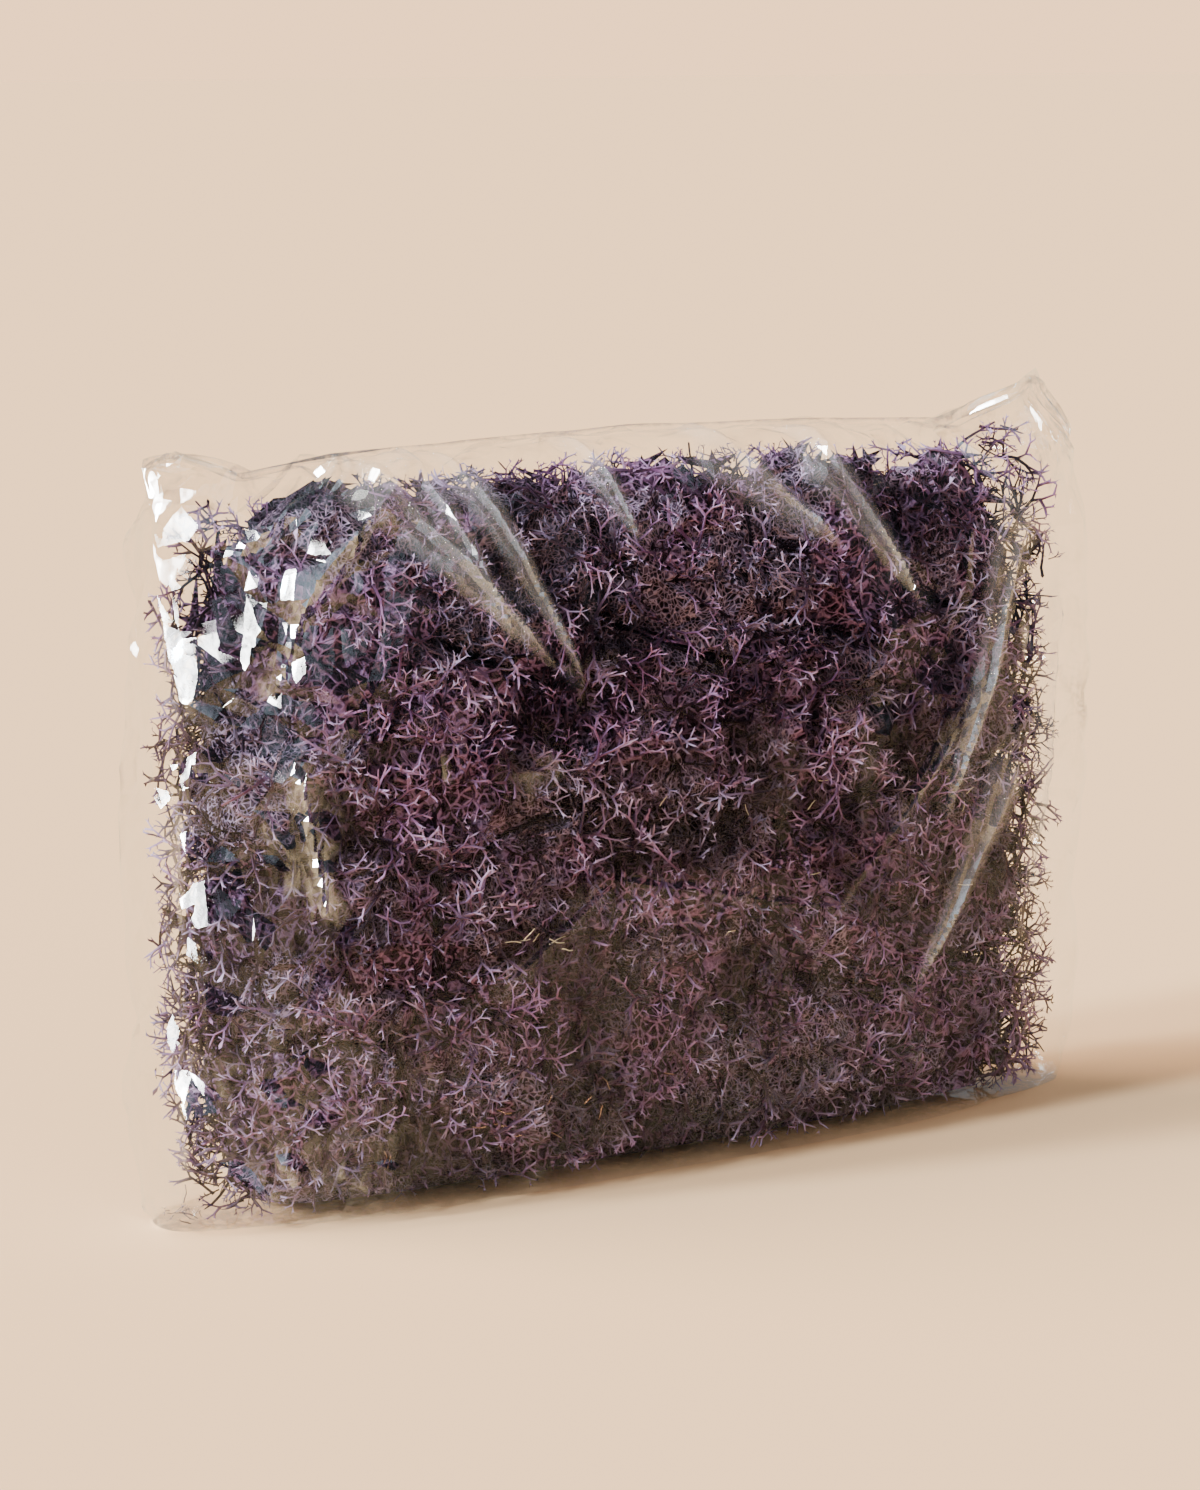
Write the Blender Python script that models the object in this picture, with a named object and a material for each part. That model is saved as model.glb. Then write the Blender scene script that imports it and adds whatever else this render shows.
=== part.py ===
# A pack of dyed reindeer moss: separate tufts of forked moss, packed in two layers in a clear
# film pillow bag that stands on its long lower edge. Metres, +Z up, +X along the pack's length,
# -Y to its front, with the origin at the middle of the foot it stands on.

import math

import bmesh
import bpy
import numpy as np
from mathutils import Matrix, Vector
from mathutils.bvhtree import BVHTree

PACK_NAME = "reindeer_moss_pack"

# The block of packed moss, and the room the film leaves round it
MOSS_WIDTH = 0.372
MOSS_DEPTH = 0.105
MOSS_HEIGHT = 0.257
MOSS_FLOOR = 0.0008
SECTION_POWER = 3.0
SECTION_SAMPLES = 720
REACH_HALVINGS = 40
# Height, half-width and half-depth as shares of the moss block's own, from its foot to its crest
BLOCK_PROFILE = (
    (0.000, 0.890, 0.62),
    (0.025, 0.945, 0.79),
    (0.075, 0.975, 0.89),
    (0.170, 0.992, 0.95),
    (0.400, 1.000, 1.00),
    (0.600, 1.000, 0.99),
    (0.760, 0.988, 0.91),
    (0.880, 0.960, 0.77),
    (0.960, 0.890, 0.56),
    (1.000, 0.800, 0.36),
)

# The film bag
FILM_WALL = 0.0005
FILM_SLACK = 0.0035
FILM_COLUMNS = 32
SEAM_STRIP = 0.004
SEAM_LEFT = 0.193
SEAM_RIGHT = 0.203
FIN_HEIGHT = 0.004
FIN_HALF = 0.0008
FIN_ROOT_HALF = 0.0011
EAVE = 0.0045
SEAM_START = 0.88
SEAM_CURVE = 1.6
# The bag's upper edge from the left ear to the right ear, as (x, z)
TOP_EDGE = (
    (-0.198, 0.254),
    (-0.192, 0.269),
    (-0.179, 0.271),
    (-0.156, 0.262),
    (-0.120, 0.267),
    (0.000, 0.271),
    (0.090, 0.269),
    (0.150, 0.266),
    (0.170, 0.275),
    (0.190, 0.284),
    (0.203, 0.262),
)
VENT_RADIUS = 0.003
VENT_SIDES = 8
VENT_HEIGHT = 0.205
VENT_CUT = 0.02
VENT_PLACES = (-0.07, 0.0, 0.07)

# The tufts: columns and rows in each layer, and the depth of each layer's middle
LAYERS = (
    ("moss_front", 5, 4, -0.024),
    ("moss_back", 4, 3, 0.026),
)
SEED_SPREAD = 0.94
SEED_STAGGER = 0.15
SEED_JITTER = (0.007, 0.0028, 0.007)
RELAX_ROUNDS = 2
RELAX_POINTS = 6000
TUFT_GAP = 0.0004
WALL_ROUNDS = 6
CORE_SET_BACK = 0.0125
CORE_RELIEF = 0.0030
HEAD_ROUNDING = 0.006
HEAD_REACH = 0.020
CORE_COLUMNS = 56
CORE_ROWS = 16
CORE_MERGE = 0.003
CUT_MERGE = 0.0002
CREST_ROUND = 0.004
CREST_SHARES = (0.93, 0.5)
CORE_STRAY = 0.0028
SPIKE_LEAST_AREA = 0.00006
SPIKE_RISE = (0.0045, 0.0085)
SPIKE_LEAN = 0.0025
FOOT_ZONE = 0.004
CREST_ZONE = 0.016

# The forked sprigs that stand out of each tuft
SPRIG_SPACING = 0.0262
SPRIG_TRIALS = 2500
SPRIG_ROOT = 0.006
SPRIG_RADIUS = 0.0022
SPRIG_PRONG = 0.0165
SPRIG_TILT = 0.35
SPRIG_EDGE = 0.004
SPRIG_CLEAR = 0.0006
SPRIG_REACH = 1.1
CORE_SEARCH = 0.045
STEM_RINGS = ((0.0, 1.3), (0.50, 1.0), (0.70, 0.75))
FORK_SHARE = 0.60
FORK_SPREAD = (0.75, 1.1)
FORK_RISE = (0.10, 0.30)
BEND_SHARES = (1.0, 0.85, 0.7, 0.55, 0.4)
LONG_PRONG = 0.006
LONG_RADIUS = 0.0012
FILM_MARGIN = 0.0006
RANDOM_SEED = 1503
# Sprigs that reach past the block, as (x, y, z) of the root and of the tip
LONG_SPRIGS = (
    ((0.078, -0.010, 0.236), (0.069, -0.001, 0.2625)),
    ((0.166, -0.004, 0.222), (0.1925, 0.000, 0.203)),
    ((0.170, 0.004, 0.188), (0.1945, 0.001, 0.181)),
    ((-0.160, -0.006, 0.228), (-0.1835, -0.001, 0.235)),
)

MOSS_TINTS = (
    (0.25, 0.13, 0.24, 1.0),
    (0.20, 0.10, 0.19, 1.0),
    (0.30, 0.18, 0.29, 1.0),
)
FILM_TINT = (0.93, 0.94, 0.93, 1.0)


def clear_scene():
    for obj in list(bpy.data.objects):
        bpy.data.objects.remove(obj, do_unlink=True)


def new_collection(name, drawn=True):
    group = bpy.data.collections.new(name)
    bpy.context.scene.collection.children.link(group)
    group.hide_render = not drawn
    return group


def principled(name, tint, roughness, alpha=1.0):
    material = bpy.data.materials.new(name)
    material.use_nodes = True
    shader = material.node_tree.nodes["Principled BSDF"]
    shader.inputs["Base Color"].default_value = tint
    shader.inputs["Roughness"].default_value = roughness
    shader.inputs["Metallic"].default_value = 0.0
    shader.inputs["Alpha"].default_value = alpha
    material.diffuse_color = (*tint[:3], alpha)
    return material


def object_from(name, shape, group, material=None):
    mesh = bpy.data.meshes.new(name)
    shape.to_mesh(mesh)
    shape.free()
    if material:
        mesh.materials.append(material)
    obj = bpy.data.objects.new(name, mesh)
    group.objects.link(obj)
    return obj


def block_half_sizes(height):
    """Half-width and half-depth of the moss block at a height above its foot."""
    shares = np.array(BLOCK_PROFILE)
    share = np.clip(height / MOSS_HEIGHT, 0.0, 1.0)
    half_width = np.interp(share, shares[:, 0], shares[:, 1]) * MOSS_WIDTH / 2
    half_depth = np.interp(share, shares[:, 0], shares[:, 2]) * MOSS_DEPTH / 2
    return half_width, half_depth


def block_measure(points, margin=0.0):
    """Under 1 inside the moss block's section, and 1 on its surface."""
    half_width, half_depth = block_half_sizes(points[..., 2] - MOSS_FLOOR)
    across = np.abs(points[..., 0] / (half_width - margin)) ** SECTION_POWER
    through = np.abs(points[..., 1] / (half_depth - margin)) ** SECTION_POWER
    return across + through


def in_block(points, margin=0.0):
    above = points[..., 2] >= MOSS_FLOOR
    below = points[..., 2] <= MOSS_FLOOR + MOSS_HEIGHT - margin
    return (block_measure(points, margin) <= 1.0) & above & below


def distance_to_block(start, directions):
    """How far the block reaches from a point in it along each direction."""
    near = np.zeros(len(directions))
    far = np.full(len(directions), MOSS_WIDTH)
    for _ in range(REACH_HALVINGS):
        middle = (near + far) / 2
        inside = in_block(start + directions * middle[:, None])
        near = np.where(inside, middle, near)
        far = np.where(inside, far, middle)
    return near


def block_normal(point):
    """The moss block's outward direction at a point near its surface."""
    if point[2] > MOSS_FLOOR + MOSS_HEIGHT - CREST_ZONE:
        return np.array((0.0, 0.0, 1.0))
    step = 0.001
    steps = np.eye(3) * step
    slope = [block_measure(point + way) - block_measure(point - way) for way in steps]
    return np.array(slope) / np.linalg.norm(slope)


def tuft_seeds(random):
    """The middles of the tufts, spread over both layers and evened out inside the block."""
    names = []
    seeds = []
    for layer, columns, rows, depth in LAYERS:
        for row in range(rows):
            for column in range(columns):
                stagger = SEED_STAGGER if row % 2 else -SEED_STAGGER
                share = (column + 0.5 + stagger) / columns - 0.5
                across = share * MOSS_WIDTH * SEED_SPREAD
                height = MOSS_FLOOR + (row + 0.5) / rows * MOSS_HEIGHT
                jitter = random.uniform(-1.0, 1.0, 3) * SEED_JITTER
                seeds.append(np.array((across, depth, height)) + jitter)
                names.append(f"{layer}_{row * columns + column:02d}")
    seeds = np.array(seeds)
    box = np.array((MOSS_WIDTH, MOSS_DEPTH, MOSS_HEIGHT))
    corner = np.array((-MOSS_WIDTH / 2, -MOSS_DEPTH / 2, MOSS_FLOOR))
    points = random.uniform(0, 1, (RELAX_POINTS, 3)) * box + corner
    points = points[in_block(points)]
    for _ in range(RELAX_ROUNDS):
        nearest = np.linalg.norm(points[:, None] - seeds[None], axis=2).argmin(axis=1)
        for index in range(len(seeds)):
            own = points[nearest == index]
            seeds[index] = (seeds[index] + own.mean(axis=0)) / 2
    return names, seeds


def tuft_walls(seeds, index):
    """The planes half-way to each other tuft, as (points, outward normals)."""
    others = np.delete(seeds, index, axis=0)
    offsets = others - seeds[index]
    normals = offsets / np.linalg.norm(offsets, axis=1)[:, None]
    middles = (others + seeds[index]) / 2
    return middles, normals


def keep_in_walls(points, walls, gap):
    kept = points.copy()
    middles, normals = walls
    for _ in range(WALL_ROUNDS):
        for middle, normal in zip(middles, normals):
            past = (kept - middle) @ normal + gap
            kept -= np.where(past > 0, past, 0.0)[:, None] * normal
    return kept


def clearance_to_walls(points, walls):
    middles, normals = walls
    depth = ((middles[None] - points[:, None]) * normals[None]).sum(axis=2)
    return depth.min(axis=1)


def section_points(half_width, half_depth):
    """Evenly spaced points round a section of the block, from its +X end."""
    angles = np.linspace(0.0, 2 * math.pi, SECTION_SAMPLES + 1)
    cosines, sines = np.cos(angles), np.sin(angles)
    xs = np.sign(cosines) * np.abs(cosines) ** (2 / SECTION_POWER) * half_width
    ys = np.sign(sines) * np.abs(sines) ** (2 / SECTION_POWER) * half_depth
    lengths = np.concatenate(((0.0,), np.cumsum(np.hypot(np.diff(xs), np.diff(ys)))))
    places = np.linspace(0.0, lengths[-1], CORE_COLUMNS, endpoint=False)
    return np.interp(places, lengths, xs), np.interp(places, lengths, ys)


def strip_cap(shape, row, flip=False):
    """Closes a level with strips from its front to its back, facing up unless flipped."""
    faces = []
    count = len(row)
    for step in range(count // 2):
        corners = (row[step], row[step + 1], row[-(step + 1) % count], row[-step % count])
        corners = [v for place, v in enumerate(corners) if v not in corners[:place]]
        faces.append(shape.faces.new(reversed(corners) if flip else corners))
    return faces


def core_block():
    """The moss block drawn in from the film, in even facets, with its film side marked."""
    shape = bmesh.new()
    film_side = shape.faces.layers.int.new("film_side")
    top = MOSS_HEIGHT - CORE_SET_BACK
    levels = []
    for height in np.linspace(0.0, top, CORE_ROWS + 1):
        half_width, half_depth = block_half_sizes(height)
        levels.append((height, half_width - CORE_SET_BACK, half_depth - CORE_SET_BACK))
    width_share, depth_share = CREST_SHARES
    _, half_width, half_depth = levels[-1]
    levels.append((top + CREST_ROUND, half_width * width_share, half_depth * depth_share))
    rows = []
    for height, half_width, half_depth in levels:
        xs, ys = section_points(half_width, half_depth)
        rows.append([shape.verts.new((x, y, height + MOSS_FLOOR)) for x, y in zip(xs, ys)])
    for low, high in zip(rows, rows[1:]):
        for step in range(CORE_COLUMNS):
            after = (step + 1) % CORE_COLUMNS
            face = shape.faces.new((low[step], low[after], high[after], high[step]))
            face[film_side] = 1
    shape.faces.new(reversed(rows[0]))
    for face in strip_cap(shape, rows[-1]):
        face[film_side] = 1
    return shape


def tuft_core(walls, block, random):
    """The tuft's share of the block, cut out by its walls, domed and drawn out into points."""
    shape = block.copy()
    film_side = shape.faces.layers.int["film_side"]
    for middle, normal in zip(*walls):
        cut = bmesh.ops.bisect_plane(
            shape,
            geom=shape.verts[:] + shape.edges[:] + shape.faces[:],
            dist=CUT_MERGE,
            plane_co=middle - normal * TUFT_GAP / 2,
            plane_no=normal,
            clear_outer=True,
        )["geom_cut"]
        rim = [part for part in cut if isinstance(part, bmesh.types.BMEdge)]
        if rim:
            bmesh.ops.contextual_create(shape, geom=rim)
    bmesh.ops.remove_doubles(shape, verts=shape.verts, dist=CORE_MERGE)
    outer = {vertex for face in shape.faces if face[film_side] for vertex in face.verts}
    for vertex in sorted(outer, key=lambda vertex: tuple(vertex.co)):
        place = np.array(vertex.co)
        edge = 1.0 - clearance_to_walls(place[None], walls)[0] / HEAD_REACH
        inset = HEAD_ROUNDING * max(edge, 0.0) ** 2 + random.uniform(0.0, CORE_RELIEF)
        stray = random.uniform(-CORE_STRAY, CORE_STRAY, 3)
        if place[2] > MOSS_FLOOR + FOOT_ZONE:
            vertex.co = place - block_normal(place) * inset + stray
    shape.normal_update()
    raise_spikes(shape, film_side, random)
    bmesh.ops.triangulate(shape, faces=shape.faces)
    places = np.array([vertex.co for vertex in shape.verts])
    places = keep_in_walls(places, walls, TUFT_GAP / 2)
    for vertex, place in zip(shape.verts, places):
        vertex.co = place
    return shape


def raise_spikes(shape, film_side, random):
    """Draws each facet on the film side out into a leaning point."""
    shown = [f for f in shape.faces if f[film_side] and f.calc_area() > SPIKE_LEAST_AREA]
    normals = [face.normal.copy() for face in shown]
    points = bmesh.ops.poke(shape, faces=shown)["verts"]
    for point, normal in zip(points, normals):
        side, _ = frame_towards(normal, random.uniform(0.0, 2 * math.pi))
        point.co += normal * random.uniform(*SPIKE_RISE) + side * SPIKE_LEAN


def frame_towards(direction, turn):
    """Two unit vectors square to a direction, turned about it."""
    helper = Vector((0.0, 0.0, 1.0)) if abs(direction.z) < 0.9 else Vector((1.0, 0.0, 0.0))
    side = direction.cross(helper).normalized()
    side.rotate(Matrix.Rotation(turn, 3, direction))
    return side, direction.cross(side)


def bent_clear(start, way, length, has_room):
    """The furthest point along a way that keeps clear of the neighbours, or None."""
    for share in BEND_SHARES:
        point = start + way * length * share
        if has_room(point):
            return point
    return None


def forked_sprig(root, heading, length, prong, radius, has_room, random):
    """A three-sided stem whose sides fork into prongs below a pointed tip."""
    tip = bent_clear(root, heading, length, has_room)
    if tip is None:
        return None
    length = (tip - root).length
    side, up = frame_towards(heading, random.uniform(0.0, 2 * math.pi))
    shape = bmesh.new()
    rings = []
    for share, width in STEM_RINGS:
        ring = []
        for corner in range(3):
            angle = corner * 2 * math.pi / 3
            across = side * math.cos(angle) + up * math.sin(angle)
            place = root + heading * length * share + across * radius * width
            ring.append(shape.verts.new(place))
        rings.append(ring)
    end = shape.verts.new(tip)
    shape.faces.new(reversed(rings[0]))
    for corner in range(3):
        after = (corner + 1) % 3
        low, middle, high = (ring[corner] for ring in rings)
        low_after, middle_after, high_after = (ring[after] for ring in rings)
        shape.faces.new((low, low_after, middle_after, middle))
        shape.faces.new((high, high_after, end))
        angle = (corner + 0.5) * 2 * math.pi / 3
        out = side * math.cos(angle) + up * math.sin(angle)
        rise = heading * length * random.uniform(*FORK_RISE)
        way = out * prong * random.uniform(*FORK_SPREAD) + rise
        start = root + heading * length * FORK_SHARE
        fork_tip = bent_clear(start, way, 1.0, has_room)
        rim = (middle, middle_after, high_after, high)
        if fork_tip is None:
            shape.faces.new(rim)
            continue
        fork = shape.verts.new(fork_tip)
        for edge_start, edge_stop in zip(rim, rim[1:] + rim[:1]):
            shape.faces.new((edge_start, edge_stop, fork))
    if not all(has_room(vertex.co) for ring in rings for vertex in ring):
        shape.free()
        return None
    bmesh.ops.triangulate(shape, faces=shape.faces)
    bmesh.ops.recalc_face_normals(shape, faces=shape.faces)
    return shape


def sprig_places(seed, walls):
    """Evenly spaced places on the block's surface over the tuft, a little in from its edges."""
    index = np.arange(SPRIG_TRIALS) + 0.5
    height = 1.0 - 2.0 * index / SPRIG_TRIALS
    turn = index * math.pi * (1.0 + math.sqrt(5.0))
    ring = np.sqrt(1.0 - height**2)
    directions = np.stack((ring * np.cos(turn), ring * np.sin(turn), height), axis=1)
    outer = seed + directions * distance_to_block(seed, directions)[:, None]
    inner = clearance_to_walls(outer, walls) > SPRIG_EDGE
    outer = outer[inner & (outer[:, 2] > MOSS_FLOOR + FOOT_ZONE)]
    if not len(outer):
        return outer
    chosen = [int(np.linalg.norm(outer - outer.mean(axis=0), axis=1).argmin())]
    nearest = np.linalg.norm(outer - outer[chosen[0]], axis=1)
    while nearest.max() > SPRIG_SPACING:
        pick = int(nearest.argmax())
        chosen.append(pick)
        nearest = np.minimum(nearest, np.linalg.norm(outer - outer[pick], axis=1))
    return outer[chosen]


def tuft_sprigs(seed, walls, core, random):
    """Forked sprigs rooted in the core, out to the block's surface."""
    surface = BVHTree.FromBMesh(core)

    def has_room(point):
        place = np.array(point)[None]
        clear = clearance_to_walls(place, walls)[0] > SPRIG_CLEAR
        return clear and in_block(place, FILM_MARGIN)[0]

    shapes = []
    for outer in sprig_places(seed, walls):
        normal = block_normal(outer)
        base, _, _, depth = surface.ray_cast(Vector(outer), Vector(-normal), CORE_SEARCH)
        if base is None:
            continue
        root = base - Vector(normal) * SPRIG_ROOT
        lean = random.uniform(-SPRIG_TILT, SPRIG_TILT, 3)
        heading = Vector(normal + lean).normalized()
        length = SPRIG_ROOT + depth * SPRIG_REACH
        shapes.append(
            forked_sprig(root, heading, length, SPRIG_PRONG, SPRIG_RADIUS, has_room, random)
        )
    return [shape for shape in shapes if shape]


def long_sprigs(index, seeds, walls, random):
    """The sprigs of this tuft that reach past the block, into the film's corners."""

    def has_room(point):
        return clearance_to_walls(np.array(point)[None], walls)[0] > SPRIG_CLEAR

    shapes = []
    for root, tip in LONG_SPRIGS:
        if np.linalg.norm(seeds - np.array(root), axis=1).argmin() != index:
            continue
        way = Vector(tip) - Vector(root)
        shape = forked_sprig(
            Vector(root),
            way.normalized(),
            way.length,
            LONG_PRONG,
            LONG_RADIUS,
            has_room,
            random,
        )
        if shape:
            shapes.append(shape)
    return shapes


def make_tuft(name, index, seeds, block, group):
    """One tuft: a knobbly core with forked sprigs fused to it."""
    random = np.random.default_rng((RANDOM_SEED, index))
    walls = tuft_walls(seeds, index)
    tint = MOSS_TINTS[index % len(MOSS_TINTS)]
    moss = principled(f"dyed_moss_{name}", tint, 0.92)
    core = tuft_core(walls, block, random)
    shapes = tuft_sprigs(seeds[index], walls, core, random)
    tuft = object_from(name, core, group, moss)
    sprigs = new_collection(f"{name}_sprigs", drawn=False)
    shapes += long_sprigs(index, seeds, walls, random)
    for number, shape in enumerate(shapes):
        sprig = object_from(f"{name}_sprig_{number:02d}", shape, sprigs, moss)
        sprig.hide_render = True
        sprig.display_type = "WIRE"
    union = tuft.modifiers.new("sprigs", "BOOLEAN")
    union.operation = "UNION"
    union.operand_type = "COLLECTION"
    union.collection = sprigs
    union.solver = "MANIFOLD"
    return tuft, sprigs


def drop_scraps(mesh):
    """Keeps the one connected body with the most vertices."""
    shape = bmesh.new()
    shape.from_mesh(mesh)
    bodies = []
    left = set(shape.verts)
    while left:
        body = {left.pop()}
        waiting = list(body)
        while waiting:
            vertex = waiting.pop()
            for edge in vertex.link_edges:
                other = edge.other_vert(vertex)
                if other not in body:
                    body.add(other)
                    waiting.append(other)
        left -= body
        bodies.append(body)
    bodies.sort(key=len)
    for scrap in bodies[:-1]:
        bmesh.ops.delete(shape, geom=list(scrap), context="VERTS")
    shape.to_mesh(mesh)
    shape.free()


def apply_unions(tufts):
    """Turns each tuft's union into its own mesh, and removes the sprigs it was made from."""
    bpy.context.view_layer.update()
    graph = bpy.context.evaluated_depsgraph_get()
    for tuft, sprigs in tufts:
        joined = bpy.data.meshes.new_from_object(tuft.evaluated_get(graph))
        joined.name = tuft.name
        drop_scraps(joined)
        tuft.modifiers.clear()
        tuft.data = joined
    for tuft, sprigs in tufts:
        for sprig in list(sprigs.objects):
            bpy.data.objects.remove(sprig, do_unlink=True)
        bpy.data.collections.remove(sprigs)


def top_edge(x):
    """Height of the bag's upper edge over a place along its length."""
    return np.interp(x, *zip(*TOP_EDGE))


def film_ring(half_width, half_depth, share, wall, drop):
    """One level of the bag: the moss block's section, drawn out to the two side seams.

    Its height is a share of the upper edge's, less the drop, so the levels rise into the ears.
    """
    inset = SEAM_STRIP if wall else 0.0
    ring = []
    for step in range(FILM_COLUMNS):
        angle = 2 * math.pi * step / FILM_COLUMNS
        cosine, sine = math.cos(angle), math.sin(angle)
        x = math.copysign(abs(cosine) ** (2 / SECTION_POWER), cosine) * half_width
        y = math.copysign(abs(sine) ** (2 / SECTION_POWER), sine) * half_depth
        pull = max(0.0, (abs(cosine) - SEAM_START) / (1.0 - SEAM_START)) ** SEAM_CURVE
        seam = SEAM_RIGHT - inset if cosine > 0 else inset - SEAM_LEFT
        x += (seam - x) * pull
        if step % (FILM_COLUMNS // 2) == 0:
            y = 0.0
        z = max((top_edge(x) - drop) * share - wall * share, wall)
        ring.append(Vector((x, y, z)))
    return ring


def film_levels(wall):
    """The bag's levels from its foot to its welded upper seam, drawn in by the wall inside."""
    levels = []
    for share, _, _ in BLOCK_PROFILE:
        half_width, half_depth = block_half_sizes(share * MOSS_HEIGHT)
        half_width += FILM_SLACK - wall
        half_depth += FILM_SLACK - wall
        levels.append(film_ring(half_width, half_depth, share, wall, FIN_HEIGHT + EAVE))
    if wall:
        levels.append(film_ring(half_width, FIN_HALF / 2, 1.0, wall, FIN_HEIGHT))
        return levels
    levels.append(film_ring(half_width, FIN_ROOT_HALF, 1.0, wall, FIN_HEIGHT))
    levels.append(film_ring(half_width, FIN_HALF, 1.0, wall, 0.0))
    return levels


def loft(shape, levels, flip):
    """Bridges closed levels in turn and closes both ends with strips from front to back."""
    rows = [[shape.verts.new(point) for point in level] for level in levels]
    for low, high in zip(rows, rows[1:]):
        for step in range(FILM_COLUMNS):
            after = (step + 1) % FILM_COLUMNS
            corners = (low[step], low[after], high[after], high[step])
            shape.faces.new(reversed(corners) if flip else corners)
    strip_cap(shape, rows[0], flip=not flip)
    strip_cap(shape, rows[-1], flip=flip)


def make_film_bag(group, cutters):
    """The bag as one thin shell, with vents through its back panel."""
    shape = bmesh.new()
    loft(shape, film_levels(0.0), flip=False)
    loft(shape, film_levels(FILM_WALL), flip=True)
    bmesh.ops.triangulate(shape, faces=shape.faces)
    film = principled("clear_film", FILM_TINT, 0.12, alpha=0.25)
    bag = object_from("film_bag", shape, group, film)
    for number, place in enumerate(VENT_PLACES):
        cutter = bmesh.new()
        turn = Matrix.Rotation(math.radians(90.0), 4, "X")
        middle = Matrix.Translation((place, MOSS_DEPTH / 2, VENT_HEIGHT))
        bmesh.ops.create_cone(
            cutter,
            cap_ends=True,
            segments=VENT_SIDES,
            radius1=VENT_RADIUS,
            radius2=VENT_RADIUS,
            depth=VENT_CUT,
            matrix=middle @ turn,
        )
        vent = object_from(f"vent_cutter_{number}", cutter, cutters)
        vent.hide_render = True
        vent.display_type = "WIRE"
        cut = bag.modifiers.new(f"vent_{number}", "BOOLEAN")
        cut.operation = "DIFFERENCE"
        cut.object = vent
    return bag


def main():
    clear_scene()
    pack = new_collection(PACK_NAME)
    cutters = new_collection("cutters", drawn=False)
    names, seeds = tuft_seeds(np.random.default_rng(RANDOM_SEED))
    block = core_block()
    tufts = []
    for index, name in enumerate(names):
        tufts.append(make_tuft(name, index, seeds, block, pack))
    block.free()
    apply_unions(tufts)
    make_film_bag(pack, cutters)


main()
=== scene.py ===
import math

import bmesh
import bpy
import numpy as np
from mathutils import Matrix, Vector, geometry
from mathutils.bvhtree import BVHTree
from numpy.linalg import norm


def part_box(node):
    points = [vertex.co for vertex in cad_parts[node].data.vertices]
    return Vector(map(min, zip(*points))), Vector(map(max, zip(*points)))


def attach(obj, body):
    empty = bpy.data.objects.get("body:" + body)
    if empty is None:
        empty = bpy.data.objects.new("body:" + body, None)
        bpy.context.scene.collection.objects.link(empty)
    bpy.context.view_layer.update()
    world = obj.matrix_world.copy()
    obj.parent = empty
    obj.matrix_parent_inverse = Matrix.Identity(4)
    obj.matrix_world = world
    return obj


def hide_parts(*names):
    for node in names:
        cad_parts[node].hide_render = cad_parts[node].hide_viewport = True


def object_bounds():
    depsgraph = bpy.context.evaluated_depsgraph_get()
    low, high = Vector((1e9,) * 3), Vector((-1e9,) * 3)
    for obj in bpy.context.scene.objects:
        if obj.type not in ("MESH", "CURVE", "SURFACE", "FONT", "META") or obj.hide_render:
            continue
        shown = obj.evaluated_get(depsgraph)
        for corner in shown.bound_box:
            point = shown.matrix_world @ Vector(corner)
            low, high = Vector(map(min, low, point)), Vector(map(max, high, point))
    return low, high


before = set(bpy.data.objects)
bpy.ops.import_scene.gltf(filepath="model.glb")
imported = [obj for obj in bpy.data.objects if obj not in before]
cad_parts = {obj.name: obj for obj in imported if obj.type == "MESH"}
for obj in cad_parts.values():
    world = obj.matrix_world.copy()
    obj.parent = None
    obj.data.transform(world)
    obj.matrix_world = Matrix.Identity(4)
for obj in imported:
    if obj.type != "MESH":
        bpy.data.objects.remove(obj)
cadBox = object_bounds()
mossNames = sorted(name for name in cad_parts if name.startswith("moss_"))
print("frame loaded with", len(mossNames), "tufts and the bag")


# Small helpers

fullTurn = 6.28
goldenTurn = 2.39996  # the turn from one sprig of a head to the next
weldGap = 0.00002
up = Vector((0, 0, 1))


def deselectAll():
    bpy.ops.object.select_all(action="DESELECT")


def setMode(mode):
    bpy.ops.object.mode_set(mode=mode)


def pick(models, random):
    return models[random.integers(len(models))]


def linkObject(piece):
    bpy.context.scene.collection.objects.link(piece)


def makeActive(piece):
    deselectAll()
    piece.select_set(True)
    bpy.context.view_layer.objects.active = piece


def getPlaces(mesh):
    places = np.empty(len(mesh.vertices) * 3, np.float32)
    mesh.vertices.foreach_get("co", places)
    return places.reshape(-1, 3).astype(float)


def setPlaces(mesh, places):
    mesh.vertices.foreach_set("co", np.asarray(places, np.float32).ravel())
    mesh.update()


def setNumber(mesh, name, values):
    # one number on each vertex, for a material to read
    layer = mesh.attributes.get(name) or mesh.attributes.new(name, "FLOAT", "POINT")
    values = np.broadcast_to(np.asarray(values, np.float32), len(mesh.vertices))
    layer.data.foreach_set("value", np.ascontiguousarray(values))


def countTriangles(mesh):
    return sum(len(face.vertices) - 2 for face in mesh.polygons)


def ease(values, low, high):
    share = np.clip((np.asarray(values, float) - low) / (high - low), 0.0, 1.0)
    return share * share * (3.0 - 2.0 * share)


def unit(vector):
    return vector / max(norm(vector), 1e-9)


def anyTurn(random):
    return random.uniform(0, fullTurn)


def pathLengths(*steps):
    # the length along a line up to each of its points, from what each coordinate gains
    return np.concatenate(((0.0,), np.cumsum(np.hypot(*steps))))


def joinCopies(copies, first):
    for copy in copies:
        linkObject(copy)
    bpy.context.view_layer.update()
    for copy in copies:
        copy.select_set(True)
    bpy.context.view_layer.objects.active = first
    bpy.ops.object.join()


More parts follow.
